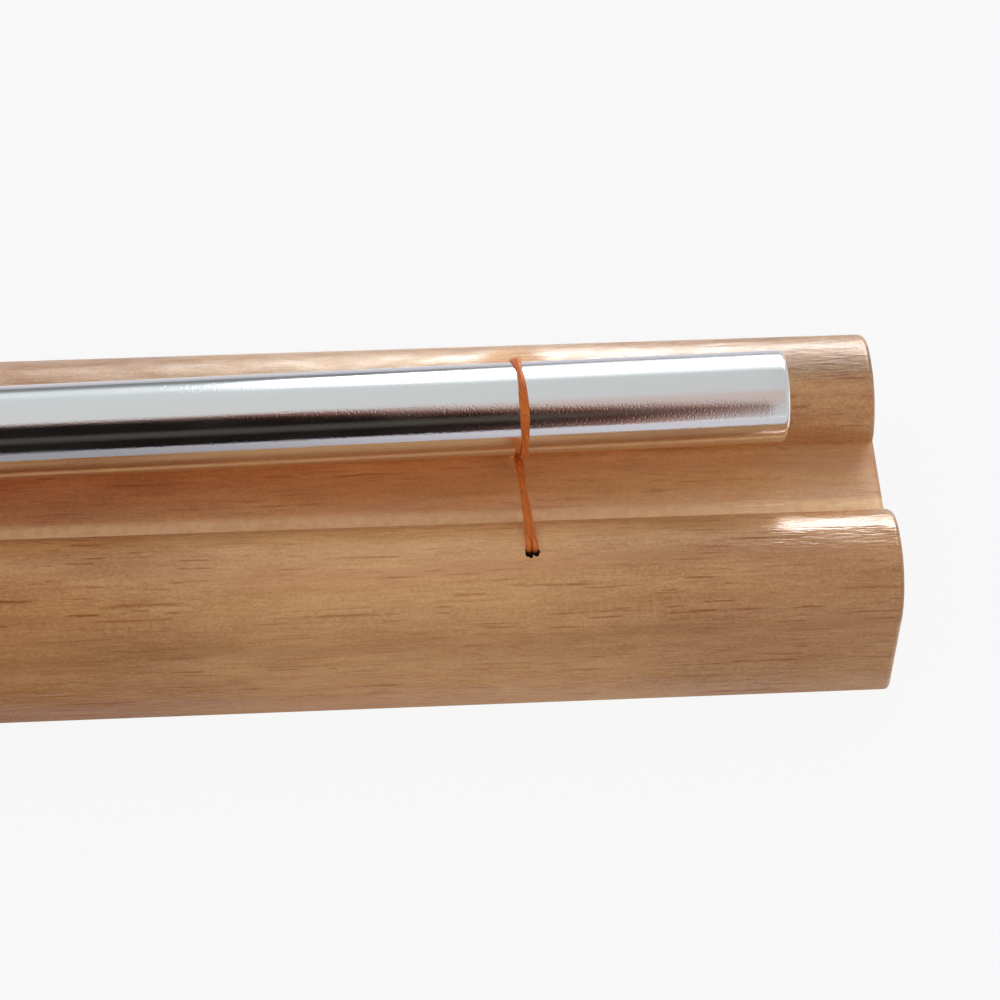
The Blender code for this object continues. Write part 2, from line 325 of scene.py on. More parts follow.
    # Painted shade on the back rail's crest, under the thick film.
    tree.links.new(mixed(tree, film_and_shade, colour, FILM_SHADE, "MULTIPLY"), shader.inputs["Base Color"])

    rubbed = {"Place": scaled(tree, place, 0.35, 1, 1), "Grains": 1500, "Waves": 380}
    ripple = add(tree, "ShaderNodeGroup", rubbed, node_tree=SURFACE_RIPPLE).outputs["Height"]
    pits = bumped(tree, grain["Height"], 0.65, 0.00016)
    tree.links.new(bumped(tree, ripple, 0.4, 0.00012, pits), shader.inputs["Normal"])
    return material


def drilled_wood():
    """Raw wood inside the holes, darker and torn."""
    material, tree, shader = new_material("drilled_wood", Roughness=0.85)
    place = add(tree, "ShaderNodeTexCoord").outputs["Object"]
    colours = {"Pale": BARE_WOOD, "Warm": BARE_SHADE, "Rose": BARE_SHADE, "Pore": WOOD_PORE}
    grain = add(tree, "ShaderNodeGroup", {"Place": place, **colours}, node_tree=WOOD_GRAIN).outputs
    tree.links.new(grain["Colour"], shader.inputs["Base Color"])
    tree.links.new(bumped(tree, grain["Height"], 0.8, 0.0001), shader.inputs["Normal"])
    return material


def arc(centre_y, centre_z, radius, start, end, steps):
    angles = [start + (end - start) * i / steps for i in range(steps + 1)]
    return [(centre_y + radius * math.cos(a), centre_z + radius * math.sin(a)) for a in angles]


def base_section(inset):
    """The base's outline in (y, z), set in all round by the amount that the sanded ends round it off."""
    quarter = math.pi / 2
    round_over = RAIL_ROUND - inset
    foot = math.asin((VALLEY_FLOOR - inset - RAIL_CENTRE_Z) / round_over)
    half = [(VALLEY_WIDTH / 2 * i / 4, VALLEY_FLOOR - inset) for i in range(1, 4)]
    half += arc(INNER_ROUND_Y, RAIL_CENTRE_Z, round_over, math.pi - foot, quarter, RAIL_STEPS)
    half += arc(OUTER_ROUND_Y, RAIL_CENTRE_Z, round_over, quarter, 0, RAIL_STEPS)
    half += [(BASE_WIDTH / 2 - inset, RAIL_CENTRE_Z * i / 6) for i in range(5, 1, -1)]
    eased = max(LOWER_EDGE - inset, LOWER_EDGE / 10)
    corner = BASE_WIDTH / 2 - inset - eased
    half += arc(corner, inset + eased, eased, 0, -quarter, 5)
    half += [(corner * i / 6, inset) for i in range(5, 0, -1)]
    floor_middle, under_middle = (0, VALLEY_FLOOR - inset), (0, inset)
    return [floor_middle] + half + [under_middle] + [(-y, z) for y, z in reversed(half)]


def base_block():
    """The section drawn out along X, closing in over the rounded ends."""
    end = BASE_LENGTH / 2
    turn = [math.pi / 2 * i / 6 for i in range(7)]
    outward = [(end - END_ROUND * (1 - math.sin(a)), END_INSET * (1 - math.cos(a))) for a in turn]
    straight = [(end - END_ROUND) * i / 40 for i in range(-39, 40)]
    stations = [(-x, inset) for x, inset in reversed(outward)] + [(x, 0) for x in straight] + outward
    shape = bmesh.new()
    rings = [[shape.verts.new((x, y, z)) for y, z in base_section(inset)] for x, inset in stations]
    for near, far in zip(rings, rings[1:]):
        for i in range(len(near)):
            shape.faces.new((near[i - 1], near[i], far[i], far[i - 1]))
    shape.faces.new(rings[0])
    shape.faces.new(rings[-1])
    return shape


def ragged(angle, height):
    """Radius of a cord hole: drilled round, with torn fibres and one standing sliver at its mouth."""
    mouth = max(0.0, 1 - (BASE_HEIGHT - height) / MOUTH_DEPTH)
    torn = 0.09 * math.sin(3 * angle + 0.7) + 0.07 * math.sin(7 * angle + 2.1) + 0.05 * math.sin(11 * angle)
    sliver = 0.62 * math.exp(-(((angle - 0.43 * math.pi) / 0.17) ** 2))
    return HOLE_RADIUS * (1 + mouth * (torn - sliver + 0.06))


def hole_drill(shape, x, side):
    """One drill: the pocket for the knot and the cord's hole above it, reaching out of both faces."""
    sides = 48
    near_mouth = [BASE_HEIGHT + rise for rise in (-0.0010, -0.0006, -0.0003, 0.0010)]
    levels = [(-0.0010, POCKET_RADIUS), (POCKET_DEPTH, POCKET_RADIUS)]
    levels += [(z, None) for z in [POCKET_DEPTH] + near_mouth]
    rings = []
    for z, wide in levels:
        ring = []
        for i in range(sides):
            angle = 2 * math.pi * i / sides
            radius = wide or ragged(angle, min(z, BASE_HEIGHT))
            y = side * (HOLE_Y + radius * math.sin(angle))
            ring.append(shape.verts.new((x + radius * math.cos(angle), y, z)))
        rings.append(ring)
    for near, far in zip(rings, rings[1:]):
        for i in range(sides):
            shape.faces.new((near[i - 1], near[i], far[i], far[i - 1]))
    shape.faces.new(rings[0])
    shape.faces.new(rings[-1])


def object_of(name, shape, *materials):
    """A new object at the origin from a built shape, its normals turned outwards."""
    bmesh.ops.recalc_face_normals(shape, faces=shape.faces)
    mesh = bpy.data.meshes.new(name)
    shape.to_mesh(mesh)
    shape.free()
    for material in materials:
        mesh.materials.append(material)
    obj = bpy.data.objects.new(name, mesh)
    bpy.context.scene.collection.objects.link(obj)
    return obj


def plain_mesh(obj):
    """The mesh that an object's modifiers make."""
    bpy.context.view_layer.update()
    return bpy.data.meshes.new_from_object(obj.evaluated_get(bpy.context.evaluated_depsgraph_get()))


drills = bmesh.new()
for station in (-CORD_STATION, CORD_STATION):
    for side in (-1, 1):
        hole_drill(drills, station, side)
drill_bits = object_of("drill_bits", drills, drilled_wood())
base = object_of("base_block", base_block(), varnished_wood())
drilling = base.modifiers.new("cord holes", "BOOLEAN")
drilling.operation = "DIFFERENCE"
drilling.solver = "EXACT"
drilling.material_mode = "TRANSFER"
drilling.object = drill_bits
drilled = plain_mesh(base)
base.modifiers.clear()
base.data = drilled
bpy.data.objects.remove(drill_bits)
base.data.shade_smooth()
base.data.set_sharp_from_angle(angle=math.radians(32))
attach(base, "base")
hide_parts("wood_base")

# Chime rod
# A solid round aluminium bar, drawn, polished bright and cut to length, its ends faced on a lathe and
# their edges eased. Nothing fixes it: it lies in the two cords, a little askew in the valley.
ROD_RADIUS = 0.0065
ROD_LENGTH = 0.1660
ROD_EDGE = 0.0008
ROD_SIDES = 160
ROD_CENTRE = Vector((0, 0.0037, 0.0300))
ROD_SKEW = math.radians(1.04)
ROD_FRAME = Matrix.Translation(ROD_CENTRE) @ Matrix.Rotation(ROD_SKEW, 4, "Z")
FACING_PITCH = 0.00016
ALUMINIUM = (0.900, 0.905, 0.910, 1)


def rod_place(tree):
    """Coordinates along and round the rod itself."""
    where = add(tree, "ShaderNodeTexCoord").outputs["Object"]
    laid = {"Vector": where, "Location": ROD_CENTRE, "Rotation": (0, 0, ROD_SKEW)}
    return add(tree, "ShaderNodeMapping", laid, vector_type="TEXTURE").outputs["Vector"]


def polished_aluminium():
    """Bright metal, smeared by the polishing cloth, with fine drawing lines, tiny pits and a few nicks."""
    material, tree, shader = new_material("polished_aluminium", Base_Color=ALUMINIUM, Metallic=1.0)
    place = rod_place(tree)
    smears = ramped(tree, streaks(tree, place, 60, 300, 3.0)["Fac"], 0.3, 0.75, 0.07, 0.13)
    tree.links.new(smears, shader.inputs["Roughness"])
    cells = add(tree, "ShaderNodeTexVoronoi", {"Vector": place, "Scale": 430.0}).outputs
    chance = add(tree, "ShaderNodeSeparateColor", {"Color": cells["Color"]}).outputs["Red"]
    near = ramped(tree, cells["Distance"], 0.02, 0.13, 1.0, 0.0)
    nicks = product(tree, near, ramped(tree, chance, 0.62, 0.92))
    grit = add(tree, "ShaderNodeTexVoronoi", {"Vector": place, "Scale": 2100.0}).outputs["Distance"]
    pits = combined(tree, "MAXIMUM", nicks, ramped(tree, grit, 0.05, 0.42, 0.30, 0.0))
    drawn = combined(tree, "MULTIPLY", streaks(tree, place, 12, 2600)["Fac"], 0.5)
    marks = combined(tree, "SUBTRACT", drawn, pits)
    rubbed = {"Place": place, "Grains": 4100, "Waves": 90}
    ripple = add(tree, "ShaderNodeGroup", rubbed, node_tree=SURFACE_RIPPLE).outputs["Height"]
    grains = bumped(tree, ripple, 0.24, 0.00002)
    tree.links.new(bumped(tree, marks, 0.4, 0.00003, grains), shader.inputs["Normal"])
    return material


def faced_aluminium():
    """The rod's ends, with the fine rings that facing leaves."""
    material, tree, shader = new_material("faced_aluminium", Base_Color=ALUMINIUM, Metallic=1.0)
    place = rod_place(tree)
    across = scaled(tree, place, 0, 1, 1)
    radius = add(tree, "ShaderNodeVectorMath", {0: across}, operation="LENGTH").outputs["Value"]
    rings = combined(tree, "SINE", combined(tree, "MULTIPLY", radius, 2 * math.pi / FACING_PITCH))
    uneven = add(tree, "ShaderNodeTexNoise", {"Vector": place, "Scale": 700.0, "Detail": 2.0}).outputs["Fac"]
    tree.links.new(ramped(tree, uneven, 0.3, 0.7, 0.18, 0.30), shader.inputs["Roughness"])
    tree.links.new(bumped(tree, rings, 0.25, 0.00002), shader.inputs["Normal"])
    return material


def rod_shape():
    """The bar turned about its own axis, then laid where it hangs; its flat ends take the second material."""
    half, inner = ROD_LENGTH / 2, ROD_RADIUS - ROD_EDGE
    bend = [math.pi / 2 * i / 8 for i in range(9)]
    edge = [(half - ROD_EDGE * (1 - math.cos(a)), inner + ROD_EDGE * math.sin(a)) for a in bend]
    face = [(half, inner * i / 6) for i in range(1, 6)]
    body = [(half * i / 24, ROD_RADIUS) for i in range(-23, 24)]
    body = [(x, r) for x, r in body if abs(x) < half - 2 * ROD_EDGE]
    right = face + edge
    profile = [(-x, r) for x, r in right] + body + [(x, r) for x, r in reversed(right)]
    turn = [2 * math.pi * i / ROD_SIDES for i in range(ROD_SIDES)]
    shape = bmesh.new()
    rings = []
    for x, radius in profile:
        rings.append([shape.verts.new((x, radius * math.cos(a), radius * math.sin(a))) for a in turn])
    for near, far in zip(rings, rings[1:]):
        for i in range(ROD_SIDES):
            strip = shape.faces.new((near[i - 1], near[i], far[i], far[i - 1]))
            strip.smooth = True
            strip.material_index = int(abs(near[i].co.x) == half and abs(far[i].co.x) == half)
    for x, ring in ((-half, rings[0]), (half, rings[-1])):
        middle = shape.verts.new((x, 0, 0))
        for i in range(ROD_SIDES):
            shape.faces.new((middle, ring[i - 1], ring[i])).material_index = 1
    shape.transform(ROD_FRAME)
    return shape


rod = object_of("rod_bar", rod_shape(), polished_aluminium(), faced_aluminium())
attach(rod, "rod")
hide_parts("chime_rod")

# Cords
# Two lengths of waxed orange thread, each of two plies in a long slack twist. A cord is knotted below
# the front rail, comes up its hole, goes once round the rod and down to a knot below the back rail.
# The turn moves with the rod; the two strands run between the rails and the turn.
PLY_RADIUS = 0.00043
PLY_SET_OFF = 0.00024
PLY_TWIST = 0.006
RIDGE_FOOT = 0.93
LAY_LENGTH = 0.0225
LAY_STEP = 0.00025
MOUTH_TWIST = 0.125
CORD_SEAT = 0.00042
TURN_RADIUS = ROD_RADIUS + CORD_SEAT
RAIL_SEAT = RAIL_ROUND + CORD_SEAT
PRESSED_FLAT = 0.72
CLEARANCE = 0.00002
DEEPEST_SUNK = 0.0004
CREST_RISE = 0.0040
KNOT_MIDDLE_Z = 0.0031
KNOT_LOBE = 0.00060
KNOT_LIFT = 0.00062
THREAD_DEEP = (0.520, 0.088, 0.004, 1)
THREAD_BRIGHT = (0.920, 0.245, 0.032, 1)
# Painted shade on the thread inside the holes.
THREAD_HOLE_SHADE = (0.060, 0.016, 0.004, 1)
THREAD_NAP = (1.0, 0.60, 0.36, 1)


def laid_cord_tree():
    """Plies twisted round a path as its tilt says and set off by its radius, cut to a stretch and swept
    with ridges."""
    tree = bpy.data.node_groups.new("laid_cord", "GeometryNodeTree")
    tree.interface.new_socket("Path", in_out="INPUT", socket_type="NodeSocketGeometry")
    for name, kind in (
        ("Plies", "NodeSocketInt"),
        ("Ply Radius", "NodeSocketFloat"),
        ("Set Off", "NodeSocketFloat"),
        ("From", "NodeSocketFloat"),
        ("To", "NodeSocketFloat"),
        ("Thread", "NodeSocketMaterial"),
    ):
        tree.interface.new_socket(name, in_out="INPUT", socket_type=kind)
    tree.interface.new_socket("Cord", in_out="OUTPUT", socket_type="NodeSocketGeometry")
    inside = tree.nodes.new("NodeGroupInput").outputs
    outside = tree.nodes.new("NodeGroupOutput").inputs

    stepped = {"Curve": inside["Path"], "Length": LAY_STEP}
    even = add(tree, "GeometryNodeResampleCurve", stepped, mode="LENGTH")
    plies = add(
        tree,
        "GeometryNodeDuplicateElements",
        {"Geometry": even.outputs["Curve"], "Amount": inside["Plies"]},
        domain="SPLINE",
    )
    along = add(tree, "GeometryNodeSplineParameter").outputs["Length"]
    share = combined(tree, "DIVIDE", plies.outputs["Duplicate Index"], inside["Plies"])
    angle = combined(tree, "MULTIPLY", share, 2 * math.pi)
    normal = add(tree, "GeometryNodeInputNormal").outputs["Normal"]
    tangent = add(tree, "GeometryNodeInputTangent").outputs["Tangent"]
    across = add(tree, "ShaderNodeVectorMath", {0: tangent, 1: normal}, operation="CROSS_PRODUCT").outputs[0]
    slack = add(tree, "GeometryNodeInputRadius").outputs["Radius"]
    opened = combined(tree, "MULTIPLY", inside["Set Off"], slack)
    parts = []
    for direction, wave in ((normal, "COSINE"), (across, "SINE")):
        reach = combined(tree, "MULTIPLY", combined(tree, wave, angle), opened)
        part = add(tree, "ShaderNodeVectorMath", {0: direction, "Scale": reach}, operation="SCALE")
        parts.append(part.outputs[0])
    offset = add(tree, "ShaderNodeVectorMath", {0: parts[0], 1: parts[1]}, operation="ADD").outputs[0]
    laid = add(tree, "GeometryNodeSetPosition", {"Geometry": plies.outputs["Geometry"], "Offset": offset})
    measured = add(
        tree,
        "GeometryNodeStoreNamedAttribute",
        {"Geometry": laid.outputs["Geometry"], "Name": "ply_along", "Value": along},
        data_type="FLOAT",
        domain="POINT",
    )
    twist = combined(tree, "MULTIPLY", along, -2 * math.pi / PLY_TWIST)
    spun = add(tree, "GeometryNodeSetCurveTilt", {"Curve": measured.outputs["Geometry"], "Tilt": twist})
    cut = add(
        tree,
        "GeometryNodeTrimCurve",
        {"Curve": spun.outputs["Curve"], 2: inside["From"], 3: inside["To"]},
        mode="FACTOR",
    )
    hollow = combined(tree, "MULTIPLY", inside["Ply Radius"], RIDGE_FOOT)
    yarn = add(
        tree,
        "GeometryNodeCurveStar",
        {"Points": 8, "Inner Radius": hollow, "Outer Radius": inside["Ply Radius"]},
    )
    position = add(tree, "GeometryNodeInputPosition").outputs["Position"]
    rounded = add(tree, "ShaderNodeVectorMath", {0: position}, operation="NORMALIZE").outputs[0]
    section = add(
        tree,
        "GeometryNodeStoreNamedAttribute",
        {"Geometry": yarn.outputs["Curve"], "Name": "ply_round", "Value": rounded},
        data_type="FLOAT_VECTOR",
        domain="POINT",
    )
    swept = add(
        tree,
        "GeometryNodeCurveToMesh",
        {"Curve": cut.outputs["Curve"], "Profile Curve": section.outputs["Geometry"], "Fill Caps": True},
    )
    smooth = add(tree, "GeometryNodeSetShadeSmooth", {"Geometry": swept.outputs["Mesh"]}).outputs["Geometry"]
    whole = add(tree, "GeometryNodeRealizeInstances", {"Geometry": smooth}).outputs["Geometry"]
    dyed = add(tree, "GeometryNodeSetMaterial", {"Geometry": whole, "Material": inside["Thread"]})
    tree.links.new(dyed.outputs["Geometry"], outside["Cord"])
    return tree


def measured_place(tree):
    """X, Y and Z in the chime's own frame."""
    place = add(tree, "ShaderNodeTexCoord").outputs["Object"]
    return add(tree, "ShaderNodeSeparateXYZ", {0: place}).outputs


def orange_cord():
    """Dyed thread: fibres streaked along each ply, a soft nap, and painted shade where it goes down a hole.
    """
    material, tree, shader = new_material(
        "orange_cord",
        Roughness=0.52,
        Specular_IOR_Level=0.35,
        Sheen_Weight=0.35,
        Sheen_Roughness=0.4,
        Sheen_Tint=THREAD_NAP,
    )
    around = add(tree, "ShaderNodeAttribute", attribute_name="ply_round").outputs["Vector"]
    along = add(tree, "ShaderNodeAttribute", attribute_name="ply_along").outputs["Fac"]
    lengthways = add(tree, "ShaderNodeCombineXYZ", {"Z": combined(tree, "MULTIPLY", along, 450.0)}).outputs[0]
    sideways = scaled(tree, around, 2.2, 2.2, 0)
    place = add(tree, "ShaderNodeVectorMath", {0: sideways, 1: lengthways}, operation="ADD").outputs[0]
    fibres = add(tree, "ShaderNodeTexNoise", {"Vector": place, "Scale": 1.6, "Detail": 4.0}).outputs["Fac"]
    dyed = mixed(tree, ramped(tree, fibres, 0.30, 0.70), THREAD_DEEP, THREAD_BRIGHT)
    at = measured_place(tree)
    # Painted shade where the thread goes down a hole.
    hole_shade = product(
        tree,
        ramped(tree, combined(tree, "ABSOLUTE", at["Y"]), HOLE_Y - 0.0014, HOLE_Y - 0.0009),
        ramped(tree, at["Z"], BASE_HEIGHT - 0.0007, BASE_HEIGHT, 1.0, 0.0),
        ramped(tree, at["Z"], POCKET_DEPTH, POCKET_DEPTH + 0.001),
    )
    tree.links.new(mixed(tree, hole_shade, dyed, THREAD_HOLE_SHADE), shader.inputs["Base Color"])
    tree.links.new(bumped(tree, fibres, 0.6, 0.00008), shader.inputs["Normal"])
    return material


def smoothed(route, step=0.0004):
    """Points along a smooth curve through the route's own points."""
    ends = [2 * route[0] - route[1]] + route + [2 * route[-1] - route[-2]]
    points = []
    for a, b, c, d in zip(ends, ends[1:], ends[2:], ends[3:]):
        length = (c - b).length
        into = (c - a) * (length / ((b - a).length + length))
        out = (d - b) * (length / ((d - c).length + length))
        steps = max(1, math.ceil(length / step))
        for i in range(steps):
            t = i / steps
            points.append(
                b * (2 * t**3 - 3 * t**2 + 1)
                + into * (t**3 - 2 * t**2 + t)
                + c * (3 * t**2 - 2 * t**3)
                + out * (t**3 - t**2)
            )
    return points + [route[-1]]


def fall(side, rod_y):
    """How steeply the taut cord falls from a rail's crest to the underside of the rod."""
    across = abs(side * INNER_ROUND_Y - rod_y)
    up = ROD_CENTRE.z - RAIL_CENTRE_Z
    return math.asin((RAIL_SEAT + TURN_RADIUS) / math.hypot(across, up)) - math.atan2(up, across)


def knot_route(x, side):
    """An overhand knot in its pocket, from the cut tail through the crossings to the foot of the hole."""
    middle = Vector((x, side * HOLE_Y, KNOT_MIDDLE_Z))
    tail = Vector((-0.0019, -0.0007 * side, -0.0019))
    into = Vector((-0.0015, -0.0016 * side, -0.0008))
    route = [middle + tail, middle + into]
    for i in range(25):
        t = math.pi * (1.14 + 1.72 * i / 24)
        wide = math.sin(t) + 2 * math.sin(2 * t)
        deep = (math.cos(t) - 2 * math.cos(2 * t)) * side
        crossing = Vector((0, 0, -math.sin(3 * t) * KNOT_LIFT))
        route.append(middle + Vector((wide, deep, 0)) * KNOT_LOBE + crossing)
    route.append(middle + Vector((-0.0008, -0.0013 * side, 0.0013)))
    route.append(middle + Vector((-0.0001, -0.0002 * side, 0.0020)))
    return route


def strand_route(x, side, turn_x, rod_y):
    """From the foot of the hole over its rim and the rail's crest, down to where the cord meets the rod."""
    slope = fall(side, rod_y)
    rim_y = side * (HOLE_Y - HOLE_RADIUS)
    within = rim_y + side * CORD_SEAT
    crest = Vector((x, side * (INNER_ROUND_Y - RAIL_SEAT * math.sin(slope)), 0))
    crest.z = RAIL_CENTRE_Z + RAIL_SEAT * math.cos(slope)
    meet = Vector((turn_x, rod_y + side * TURN_RADIUS * math.sin(slope), 0))
    meet.z = ROD_CENTRE.z - TURN_RADIUS * math.cos(slope)
    up_hole = [Vector((x, within, z)) for z in (0.0080, 0.0120, 0.0160, 0.0200, BASE_HEIGHT - 0.0011)]
    over_rim = [
        Vector((x, rim_y + side * CORD_SEAT * math.cos(a), BASE_HEIGHT + CORD_SEAT * math.sin(a)))
        for a in (0.0, 0.5, 1.0, 1.5)
    ]
    span = [crest.lerp(meet, i / 8) for i in range(9)]
    return up_hole + over_rim + span


def turn_route(x, rod_y):
    """Once round the rod, from the front strand under it, up behind, over and down to the back strand."""
    start, end = -fall(-1, rod_y), 2 * math.pi + fall(1, rod_y)
    # Degrees round from the rod's underside, and how far the cord lies to the right there, in millimetres.
    creep = (
        (-20, -0.52),
        (0, -0.54),
        (90, -0.72),
        (147, -0.72),
        (190, -0.32),
        (230, -0.17),
        (270, -0.08),
        (310, 0.12),
        (360, 0.52),
        (390, 0.60),
    )
    route = []
    for i in range(61):
        angle = start + (end - start) * i / 60
        degrees = math.degrees(angle)
        for (a, low), (b, high) in zip(creep, creep[1:]):
            if a <= degrees <= b:
                t = (degrees - a) / (b - a)
                aside = (low + (high - low) * t * t * (3 - 2 * t)) / 1000
        y = rod_y + TURN_RADIUS * math.sin(angle)
        z = ROD_CENTRE.z - TURN_RADIUS * math.cos(angle)
        route.append(Vector((x + aside, y, z)))
    return route


def seated(point, rod_y):
    """The point moved out of the rod and the rails, so that a cord lies pressed flat on what it touches."""
    from_rod = Vector((0, point.y - rod_y, point.z - ROD_CENTRE.z))
    height = from_rod.length - ROD_RADIUS
    free = min(max((height - 0.0010) / 0.0012, 0.0), 1.0)
    kept = PRESSED_FLAT + (1 - PRESSED_FLAT) * free * free * (3 - 2 * free)
    pressed = max(height * kept, CLEARANCE)
    if from_rod.length > 1e-6:
        point = point + from_rod.normalized() * (pressed - height)
    for side in (-1, 1):
        for centre in (INNER_ROUND_Y, OUTER_ROUND_Y):
            out = Vector((0, point.y - side * centre, point.z - RAIL_CENTRE_Z))
            sunk = RAIL_ROUND + CLEARANCE - out.length
            beside_hole = abs(abs(point.y) - HOLE_Y) > HOLE_RADIUS
            if 0 < sunk < DEEPEST_SUNK and beside_hole and out.z > CREST_RISE:
                point = point + out.normalized() * sunk
    return point


def length_of(points):
    return sum((b - a).length for a, b in zip(points, points[1:]))


def laid_piece(name, path, start, end, rod_y):
    """A cord's stretch between two shares of its path, as a plain mesh, its plies spread at the holes."""
    curve = bpy.data.curves.new(name, "CURVE")
    curve.dimensions = "3D"
    spline = curve.splines.new("POLY")
    spline.points.add(len(path) - 1)
    mouths = [Vector((abs(p.x) - CORD_STATION, abs(p.y) - HOLE_Y, p.z - BASE_HEIGHT)).length for p in path]
    twists = [0.0]
    for near, far, mouth in zip(path, path[1:], mouths):
        eased = 1 - 0.9 * math.exp(-((mouth / 0.009) ** 2))
        twists.append(twists[-1] + (far - near).length * eased / LAY_LENGTH)
    front_mouth = min(range(len(path) // 2), key=mouths.__getitem__)
    for target, point, mouth, twist in zip(spline.points, path, mouths, twists):
        target.co = (*point, 1)
        target.radius = 1 + 0.9 * math.exp(-((mouth / 0.0022) ** 2))
        target.tilt = 2 * math.pi * (twist - twists[front_mouth] + MOUTH_TWIST)
    line = bpy.data.objects.new(name + "_path", curve)
    bpy.context.scene.collection.objects.link(line)
    laying = line.modifiers.new("laid cord", "NODES")
    laying.node_group = LAID_CORD
    sizes = {
        "Plies": 2,
        "Ply Radius": PLY_RADIUS,
        "Set Off": PLY_SET_OFF,
        "From": start,
        "To": end,
        "Thread": ORANGE_CORD,
    }
    for item in LAID_CORD.interface.items_tree:
        if item.name in sizes:
            laying[item.identifier] = sizes[item.name]
    mesh = plain_mesh(line)
    bpy.data.objects.remove(line)
    for vert in mesh.vertices:
        vert.co = seated(vert.co.copy(), rod_y)
    mesh.name = name
    piece = bpy.data.objects.new(name, mesh)
    bpy.context.scene.collection.objects.link(piece)
    return piece


LAID_CORD = laid_cord_tree()
ORANGE_CORD = orange_cord()
for label, x in (("left", -CORD_STATION), ("right", CORD_STATION)):
    rod_y = (ROD_FRAME @ Vector((x, 0, 0))).y
    turn = turn_route(x, rod_y)
    front = knot_route(x, -1) + strand_route(x, -1, turn[0].x, rod_y)
    back = knot_route(x, 1) + strand_route(x, 1, turn[-1].x, rod_y)
    stretches = [smoothed(front), smoothed(turn), smoothed(back)[::-1]]
    lengths = [length_of(points) for points in stretches]
    path = stretches[0] + stretches[1][1:] + stretches[2][1:]
    first = lengths[0] / sum(lengths)
    last = 1 - lengths[2] / sum(lengths)

    loop = laid_piece(f"cord_turn_{label}", path, first, last, rod_y)
    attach(loop, "slings")
    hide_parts(f"rod_wrap_{label}")
    for name, start, end, points, route in (
        ("front", 0.0, first, stretches[0], front),
        ("back", last, 1.0, stretches[2], back),
    ):
        strand = laid_piece(f"cord_{name}_{label}", path, start, end, rod_y)
        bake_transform(strand)
        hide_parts(f"{name}_cord_{label}", f"{name}_knot_{label}")

# Floor, light and camera
# A white table that keeps the chime's soft shadow, a large soft light behind to the right, even light from
# all round, and a long lens looking down. A dark screen, two pale cards and a window stand round the chime
# and are seen only in the reflections on its metal and varnish.
TABLE_WHITE = (0.66, 0.66, 0.66, 1)
SCREEN_DARK = (0.008, 0.006, 0.005, 1)
SCREEN_FOLD = (0.066, 0.058, 0.050, 1)
SCREEN_WARM = (0.150, 0.045, 0.025, 1)
SCREEN_EDGE = (1.00, 0.70, 0.62, 1)
FOLD_HEIGHT = 0.29
CARD_GREY = (0.98, 0.96, 1.03, 1)
WINDOW_WHITE = (0.93, 0.98, 1.00, 1)
WINDOW_MIDDLE = 0.49
WINDOW_SHINE = 26.0
SKY_WHITE = (0.99, 1.00, 1.00, 1)


def empty_material(name):
    material = bpy.data.materials.new(name)
    material.use_nodes = True
    material.node_tree.nodes.clear()
    return material, material.node_tree


def white_table():
    """White paint that mostly shines by itself when looked at, so it is even but for the chime's shadow."""
    material, tree = empty_material("white_table")
    ray = add(tree, "ShaderNodeLightPath").outputs
    seen = combined(tree, "MAXIMUM", ray["Is Camera Ray"], ray["Is Glossy Ray"])
    seen = combined(tree, "MAXIMUM", seen, ray["Is Transmission Ray"])
    share = combined(tree, "MULTIPLY", seen, 0.90)
    paint = add(tree, "ShaderNodeBsdfDiffuse", {"Color": TABLE_WHITE}).outputs[0]
    white = add(tree, "ShaderNodeEmission", {"Color": (1, 1, 1, 1), "Strength": 1.0}).outputs[0]
    blended = add(tree, "ShaderNodeMixShader", {0: share, 1: paint, 2: white}).outputs[0]
    add(tree, "ShaderNodeOutputMaterial", {"Surface": blended})
    return material


def dark_screen():
    """Dark cloth with one paler fold across it, thinning out warm to a tongue at the right, and at the top.
    What shows through its thin and its upper parts is tinted."""
    material, tree = empty_material("dark_screen")
    at = measured_place(tree)
    over_fold = combined(tree, "SUBTRACT", at["Z"], FOLD_HEIGHT)
    from_fold = combined(tree, "ABSOLUTE", over_fold)
    rise = combined(tree, "MULTIPLY", over_fold, 0.08)
    slant = combined(tree, "ADD", at["X"], combined(tree, "MULTIPLY", from_fold, 0.20))
    slant = combined(tree, "ADD", slant, rise)
    gone = combined(
        tree, "MAXIMUM", ramped(tree, slant, 0.145, 0.222), ramped(tree, at["Z"], 0.62, 0.84)
    )
    fold = ramped(tree, from_fold, 0.01, 0.10, 1.0, 0.0)
    folded = mixed(tree, fold, SCREEN_DARK, SCREEN_FOLD)
    colour = mixed(tree, ramped(tree, slant, 0.120, 0.180), folded, SCREEN_WARM)
    cloth = add(tree, "ShaderNodeEmission", {"Color": colour, "Strength": 1.0}).outputs[0]
    upper = product(
        tree, ramped(tree, at["Z"], 0.27, 0.40), ramped(tree, at["Z"], 0.58, 0.80, 0.62, 0.12)
    )
    tinted = combined(tree, "MAXIMUM", ramped(tree, gone, 0.3, 1.0, 1.0, 0.0), upper)
    veil = mixed(tree, tinted, (1, 1, 1, 1), SCREEN_EDGE)
    clear = add(tree, "ShaderNodeBsdfTransparent", {"Color": veil}).outputs[0]
    blended = add(tree, "ShaderNodeMixShader", {0: gone, 1: cloth, 2: clear}).outputs[0]
    add(tree, "ShaderNodeOutputMaterial", {"Surface": blended})
    return material


def glowing(name, colour, axis, low, high, start, end, near=None):
    """A sheet whose shine changes along one axis, and dims, as painted shadow, towards a near edge if it has
    one.
    """
    material, tree = empty_material(name)
    at = measured_place(tree)
    level = ramped(tree, at[axis], low, high, start, end)
    if near:
        level = product(tree, level, ramped(tree, at["Y"], near - 0.03, near, 1.0, 0.3))
    shine = add(tree, "ShaderNodeEmission", {"Color": colour, "Strength": level}).outputs[0]
    add(tree, "ShaderNodeOutputMaterial", {"Surface": shine})
    return material


